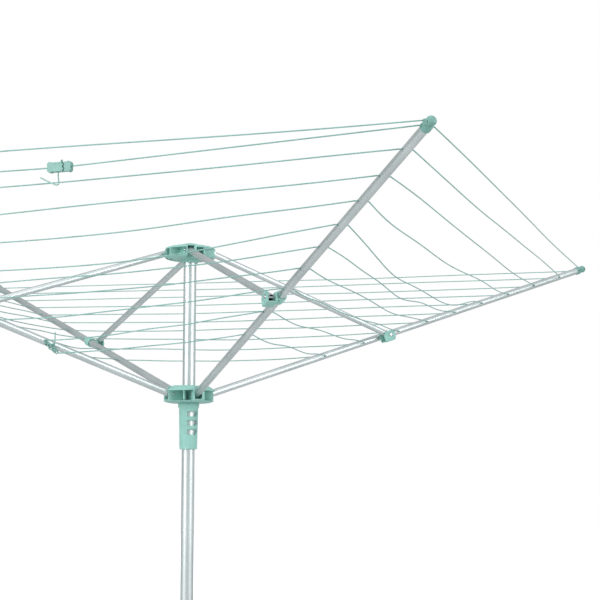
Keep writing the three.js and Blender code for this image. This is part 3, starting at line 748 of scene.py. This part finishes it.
def span_points(start, end, droop, wave, seed):
    """A slack, slightly kinked line from start to end."""
    dice = random.Random(seed)
    along = (end - start).normalized()
    level = along.cross(Vector((0, 0, 1))).normalized()
    size = wave * (0.5 + min(abs(droop), 60) / 40)
    terms = [(order, size / order * dice.uniform(-1.2, 1.2), dice.uniform(-0.8, 0.8))
             for order in (2, 3, 4, 5, 7)]
    points = []
    count = 2 * HALF_STEPS
    for i in range(count + 1):
        share = i / count
        z = -4 * droop * share * (1 - share)
        x = 0.0
        for order, up, out in terms:
            swing = math.sin(math.pi * order * share)
            z += up * swing
            x += up * out * swing
        points.append(start.lerp(end, share) + Vector((0, 0, z)) + level * x)
    return points


def half_line(name, points, own, node):
    """The half of a span nearest an arm: it rides on the arm."""
    piece = swept(name, points, LINE_R)
    finish_piece(piece, LINE_COVER, f"arm_{own[0] + 1}", [node], smooth=0)
    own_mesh(piece)
    return piece


def make_span(own, other, order, node):
    """One span, in two halves, to the next arm; order counts from the outermost line inwards."""
    start, end = placed(own), placed(other)
    side = own[0]
    if node == "tensioned":
        node = "clothes_line_outer"
        shares = [i / (2 * HALF_STEPS) for i in range(2 * HALF_STEPS + 1)]
        points = [start.lerp(end, share) - Vector((0, 0, tensioned_drop(share))) for share in shares]
    else:
        points = span_points(start, end, DROOP[side][order], WAVE[side], 100 * side + order)
    label = f"line_{own[0] + 1}{other[0] + 1}_{order}"
    half_line(label + "_a", points[:HALF_STEPS + 1], own, node)
    half_line(label + "_b", points[HALF_STEPS:], other, node)


def tensioned_drop(share):
    """The tensioned line's drop: level through the tensioner and straight on both sides of it."""
    reach = 0.02
    low, high = TENSIONER_SHARE - reach, TENSIONER_SHARE + reach
    return TENSIONER_DROP * min(share / low, 1, (1 - share) / (1 - high))


def make_thread(index, hole, from_side, to_side, node):
    """The bit of line through an arm's hole, out to where the spans begin."""
    sides = [from_side + (to_side - from_side) * i / 8 for i in range(9)]
    points = [placed(hole_at(index, hole, side)) for side in sides]
    name = f"line_through_{index + 1}_{hole}"
    finish_piece(swept(name, points, LINE_R), LINE_COVER, f"arm_{index + 1}", [node], smooth=0)


def make_lines():
    """The square spiral: it steps one hole outwards on each side from arm 4 to arm 1."""
    for hole in range(LAST_HOLE + 1):
        node = "clothes_line_outer" if hole == 0 else "clothes_line_inner"
        for index in range(4):
            make_thread(index, hole, -HOLE_EXIT - 0.4, HOLE_EXIT + 0.4, node)
        for index in range(3):
            make_span(hole_at(index, hole, HOLE_EXIT), hole_at(index + 1, hole, -HOLE_EXIT), hole, node)
        to_first = hole_at(0, hole, -HOLE_EXIT)
        from_last = hole_at(3, hole + 1, HOLE_EXIT) if hole < LAST_HOLE else KNOT_END
        make_span(from_last, to_first, hole + 1, "tensioned" if hole == 0 else "clothes_line_inner")
    make_span(hole_at(3, 0, HOLE_EXIT), KNOB_END, 0, "clothes_line_outer")


# ---------- tensioner, tail and knots ----------
TAIL_POINTS = [
    [-4, 0, -9.6], [-3.9, -0.4, -16], [-3.2, -0.9, -21.5], [-2.2, -1.4, -27], [-1.6, -1.8, -32],
    [-1.8, -1.8, -36], [-5.4, -1.2, -38.1], [-10.8, -0.4, -37.1], [-17.8, 0.6, -34.1], [-24, 1.5, -31.2],
    [-30, 2.2, -28.3], [-36, 2.8, -25.3], [-42, 3.2, -22.2], [-47.5, 3.4, -19.2],
]


LOBE_X = 21.8
LOBE_Z = 5.3
LOBE_R = 6.2
TENSIONER_HALF = 6.4                 # half its thickness


def tensioner_frame():
    start, end = placed(hole_at(3, 1, HOLE_EXIT)), placed(hole_at(0, 0, -HOLE_EXIT))
    along = (end - start).normalized()
    at = start.lerp(end, TENSIONER_SHARE) - Vector((0, 0, TENSIONER_DROP))
    return Matrix.Translation(at) @ Matrix.Rotation(math.atan2(along.y, along.x), 4, "Z")


def bone_outline(steps=8):
    """Side view of the tensioner: two lobes at each end and a straight waist."""
    outline = []
    lobes = ((LOBE_X, -LOBE_Z, -130, 20), (LOBE_X, LOBE_Z, -20, 130),
             (-LOBE_X, LOBE_Z, 50, 200), (-LOBE_X, -LOBE_Z, 160, 310))
    for x, z, start, end in lobes:
        for i in range(steps + 1):
            angle = math.radians(start + (end - start) * i / steps)
            outline.append((x + LOBE_R * math.cos(angle), z + LOBE_R * math.sin(angle)))
    return outline


def slab(outline, y0, y1):
    """A flat outline in X and Z, raised along Y."""
    verts, faces = prism(outline, -y1, -y0)
    return [(x, -depth, z) for x, z, depth in verts], faces


def make_tensioner():
    where = tensioner_frame()
    teeth = [(9, 14), (6.4, 8), (9.6, 4), (7.2, -1), (10.6, -5), (8, -9), (10, -14),
             (13, -14), (11.4, -9), (14, -4.6), (10.8, -0.6), (13.2, 4.4), (11, 8), (12.6, 14)]
    knob = moved(rod(2.6, 5, 15.5, 20), Matrix.Translation((3.6, 0, 0)))
    made = solid("tensioner", slab(bone_outline(), -TENSIONER_HALF, TENSIONER_HALF), knob, cuts=[
        slab(teeth, -9, -3), slab(teeth, 3, 9),
        moved(rod(2.0, -40, 40, 16), ALONG_X),
        moved(rod(2.1, -20, 0, 16), Matrix.Translation((-4, 0, 0))),
    ])
    soften(made, 1.0, 3)
    # The tensioner takes the darker mint plastic: painted shade.
    finish_piece(made, SHADED_PLASTIC, "tensioner", ["line_tensioner"], where)
    points = [where @ Vector(p) for p in TAIL_POINTS]
    curve = bpy.data.curves.new("tail", "CURVE")
    curve.dimensions = "3D"
    spline = curve.splines.new("POLY")
    path = smooth_path(points, 4)
    spline.points.add(len(path) - 1)
    for target, point in zip(spline.points, path):
        target.co = (*(point * MM), 1)
    curve.bevel_depth = LINE_R * MM
    curve.bevel_resolution = 3
    curve.use_fill_caps = True
    tail = bpy.data.objects.new("tail", curve)
    bpy.context.scene.collection.objects.link(tail)
    curve.materials.append(LINE_COVER)
    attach(tail, "tensioner")
    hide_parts("line_tail")


def smooth_path(points, steps=6):
    """A Catmull-Rom curve through the points."""
    path = []
    for i in range(len(points) - 1):
        p0, p1 = points[max(i - 1, 0)], points[i]
        p2, p3 = points[i + 1], points[min(i + 2, len(points) - 1)]
        for k in range(steps):
            t = k / steps
            path.append(0.5 * (2 * p1 + (p2 - p0) * t + (2 * p0 - 5 * p1 + 4 * p2 - p3) * t * t
                               + (3 * p1 - p0 - 3 * p2 + p3) * t ** 3))
    return path + [points[-1]]


def tangle(start, end, loops, size, seed):
    """Loops wound loosely round the way from start to end."""
    dice = random.Random(seed)
    along = (end - start).normalized()
    side = along.cross(Vector((0, 0, 1))).normalized()
    other = along.cross(side)
    points = [start]
    steps = loops * 7
    for i in range(1, steps):
        share = i / steps
        angle = 2 * math.pi * loops * share
        wide = size * dice.uniform(0.55, 1.1) * math.sin(math.pi * share) ** 0.4
        back = along * size * 0.9 * math.sin(2.3 * angle)
        around = math.cos(angle) * side + math.sin(angle) * other
        points.append(start.lerp(end, share) + wide * around + back)
    return smooth_path(points + [end], 5)


def make_knots():
    """The knots that hold the line's two ends: beside arm 4's innermost hole and at arm 1's knob."""
    inner_start, inner_end = placed(hole_at(3, LAST_HOLE, 9)), placed(KNOT_END)
    wound = swept("knot_inner", tangle(inner_start, inner_end, 6, 7, 5), LINE_R)
    finish_piece(wound, LINE_COVER, "arm_4", ["clothes_line_inner"], smooth=0)
    stub = inner_start.lerp(inner_end, 0.7)
    stub_points = [stub + Vector(step) for step in ((0, 0, 0), (3, 1, 12), (4, 2, 30), (4, 2, 46))]
    loose = swept("knot_stub", smooth_path(stub_points), LINE_R)
    finish_piece(loose, LINE_COVER, "arm_4", ["clothes_line_inner"], smooth=0)
    knob_start, knob_end = placed((0, Vector((TIP_S + 19.5, -6, 0)))), placed(KNOB_END)
    tied = swept("knot_outer", tangle(knob_start, knob_end, 2, 4, 8), LINE_R)
    finish_piece(tied, LINE_COVER, "arm_1", ["clothes_line_outer"], smooth=0)


# ---------- studio ----------
def make_floor():
    size = 30.0
    corners = [(-size, -size, 0), (size, -size, 0), (size, size, 0), (-size, size, 0)]
    floor = mesh_object("floor", corners, [(0, 1, 2, 3)])
    shader = Shader("floor_paper", 0.9)
    shader.colour(shader.noise(1.5), (0.66, 0.66, 0.66, 1), (0.7, 0.7, 0.7, 1))
    shader.main.inputs["Emission Color"].default_value = (1, 1, 1, 1)
    path = shader.node("LightPath")
    glow = shader.node("Math", operation="MULTIPLY")
    glow.inputs[1].default_value = 0.8
    shader.link(path.outputs["Is Camera Ray"], glow.inputs[0])
    shader.link(glow.outputs["Value"], shader.main.inputs["Emission Strength"])
    floor.data.materials.append(shader.material)


def make_world():
    """White studio: a white backdrop for the eye, and softly banded walls for reflections."""
    world = bpy.data.worlds.new("studio")
    bpy.context.scene.world = world
    world.use_nodes = True
    tree = world.node_tree
    tree.nodes.clear()
    output = tree.nodes.new("ShaderNodeOutputWorld")
    mix = tree.nodes.new("ShaderNodeMixShader")
    path = tree.nodes.new("ShaderNodeLightPath")
    backdrop = tree.nodes.new("ShaderNodeBackground")
    backdrop.inputs["Color"].default_value = (1, 1, 1, 1)
    backdrop.inputs["Strength"].default_value = 1.0
    walls = tree.nodes.new("ShaderNodeBackground")
    # The wall behind the airer is darker than the sides, which gives the metal its greys.
    direction = tree.nodes.new("ShaderNodeTexCoord")
    behind = tree.nodes.new("ShaderNodeVectorMath")
    behind.operation = "DOT_PRODUCT"
    behind.inputs[1].default_value = (math.cos(math.radians(84)), math.sin(math.radians(84)), 0)
    shade = tree.nodes.new("ShaderNodeValToRGB")
    shade.color_ramp.elements[0].position = 0.1
    shade.color_ramp.elements[0].color = (0.72, 0.74, 0.745, 1)
    shade.color_ramp.elements[1].position = 0.75
    shade.color_ramp.elements[1].color = (0.49, 0.5, 0.505, 1)
    tree.links.new(direction.outputs["Generated"], behind.inputs[0])
    tree.links.new(behind.outputs["Value"], shade.inputs["Fac"])
    tree.links.new(shade.outputs["Color"], walls.inputs["Color"])
    tree.links.new(path.outputs["Is Camera Ray"], mix.inputs["Fac"])
    tree.links.new(walls.outputs["Background"], mix.inputs[1])
    tree.links.new(backdrop.outputs["Background"], mix.inputs[2])
    tree.links.new(mix.outputs["Shader"], output.inputs["Surface"])


def make_light(name, azimuth, height, distance, size, power, aim_z=1.4):
    lamp = bpy.data.lights.new(name, "AREA")
    lamp.size = size
    lamp.energy = power
    made = bpy.data.objects.new(name, lamp)
    bpy.context.scene.collection.objects.link(made)
    angle = math.radians(azimuth)
    made.location = (distance * math.cos(angle), distance * math.sin(angle), height)
    made.rotation_euler = (Vector((0, 0, aim_z)) - made.location).to_track_quat("-Z", "Y").to_euler()


def make_studio():
    make_floor()
    make_world()
    make_light("key", -168, 3.2, 5.6, 3.0, 188)
    make_light("fill", -58, 2.6, 5.2, 2.8, 84)
    make_light("top", -115, 5.8, 2.2, 3.0, 40)
    bpy.context.scene.view_settings.view_transform = "Standard"


make_socket()
make_mast()
make_upper_hub()
make_lower_hub()
make_arms()
make_lines()
make_tensioner()
make_knots()
make_studio()
